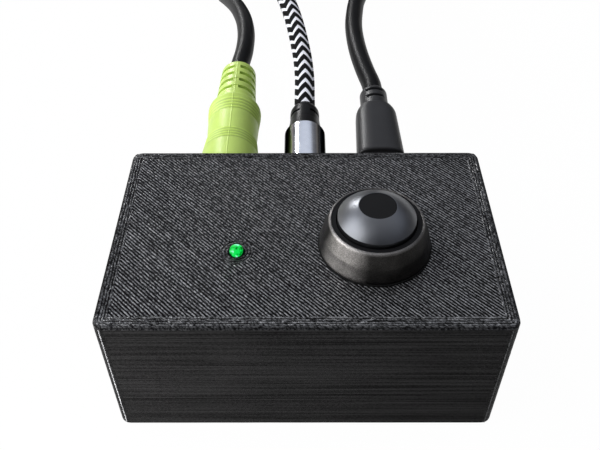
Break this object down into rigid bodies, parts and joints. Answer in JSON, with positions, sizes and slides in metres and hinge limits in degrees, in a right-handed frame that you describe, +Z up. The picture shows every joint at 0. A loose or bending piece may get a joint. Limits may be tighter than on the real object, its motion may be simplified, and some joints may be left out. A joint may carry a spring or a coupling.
{
  "type": "audio source selector",
  "caption": "Small printed desktop box with a domed metal push button and a status light, which switches between audio leads plugged into its rear.",
  "frame": {"origin": "middle of the footprint, on the surface that the box stands on", "axes": "+Z up, +X to the right as seen from the front, +Y to the rear where the leads leave"},
  "size_m": [0.075, 0.3189, 0.0469],
  "materials": {
    "printed_plastic": "filament print with raised lines, satin",
    "zinc_steel": "bright zinc plate",
    "soft_rubber": "matte",
    "bezel_metal": "bead blasted gunmetal",
    "cap_metal": "satin silver",
    "dark_trim": "dark, smooth",
    "white_plastic": "moulded",
    "gold_contact": "plated contact",
    "black_plastic": "moulded",
    "green_lens": "clear tinted lens, lit",
    "board_green": "solder mask",
    "lime_plastic": "soft moulded lime",
    "relay_yellow": "moulded case",
    "capacitor_sleeve": "aluminium can",
    "chip_tan": "ceramic",
    "wire_sleeve": "insulation",
    "black_cord": "smooth moulded jacket",
    "plug_black": "moulded",
    "braid": "black and white woven braid",
    "chrome_shell": "turned and plated",
    "tie_strap": "hook and loop strap"
  },
  "bodies": {
    "box": {"upper_shell": "printed_plastic", "base_plate": "printed_plastic", "base_screws": "zinc_steel", "rubber_feet": "soft_rubber", "button_gasket": "soft_rubber", "button_bezel": "bezel_metal", "button_ring": "dark_trim", "button_nut": "zinc_steel", "button_spring": "zinc_steel", "contact_block": "black_plastic", "button_terminals": "gold_contact", "led_lens": "green_lens", "led_leads": "zinc_steel", "circuit_board": "board_green", "board_screws": "zinc_steel", "line_out_jack": "lime_plastic", "line_in_jack": "black_plastic", "usb_port_shell": "zinc_steel", "usb_port_tongue": "black_plastic", "relay": "relay_yellow", "audio_chip": "black_plastic", "controller_chip": "black_plastic", "capacitors": "capacitor_sleeve", "crystal": "zinc_steel", "chip_parts": "chip_tan", "button_header": "white_plastic", "button_wires": "wire_sleeve"},
    "button": {"button_cap": "cap_metal", "cap_inlay": "dark_trim", "button_stem": "white_plastic", "stem_clip": "zinc_steel", "contact_bridge": "gold_contact"},
    "line_out_lead": {"line_out_plug": "lime_plastic", "line_out_pin": "gold_contact", "line_out_bands": "black_plastic", "line_out_cord": "black_cord", "line_out_coil": "black_cord", "line_out_tie": "tie_strap", "speaker_plug": "lime_plastic", "speaker_pin": "gold_contact"},
    "line_in_lead": {"line_in_shell": "chrome_shell", "line_in_collar": "plug_black", "line_in_pin": "gold_contact", "line_in_bands": "black_plastic", "line_in_cord": "braid", "line_in_coil": "braid", "line_in_tie": "tie_strap", "player_shell": "chrome_shell", "player_collar": "plug_black", "player_pin": "gold_contact"},
    "usb_lead": {"usb_sleeve": "plug_black", "usb_nose": "black_plastic", "usb_plug_shell": "zinc_steel", "usb_cord": "black_cord", "usb_coil": "black_cord", "usb_tail": "black_cord", "usb_tie": "tie_strap", "host_sleeve": "plug_black", "host_shell": "zinc_steel", "host_tongue": "white_plastic"}
  },
  "joints": [
    {"name": "button_press", "type": "slide", "parent": "box", "child": "button", "axis": [0, 0, -1], "range_m": [0, 0.002], "stiffness_N_per_m": 1200, "springref_m": -0.002, "deforming": ["button_spring"]},
    {"name": "line_out_pull", "type": "slide", "parent": "box", "child": "line_out_lead", "axis": [0, 1, 0], "range_m": [0, 0.015]},
    {"name": "line_in_pull", "type": "slide", "parent": "box", "child": "line_in_lead", "axis": [0, 1, 0], "range_m": [0, 0.015]},
    {"name": "usb_pull", "type": "slide", "parent": "box", "child": "usb_lead", "axis": [0, 1, 0], "range_m": [0, 0.007]}
  ]
}
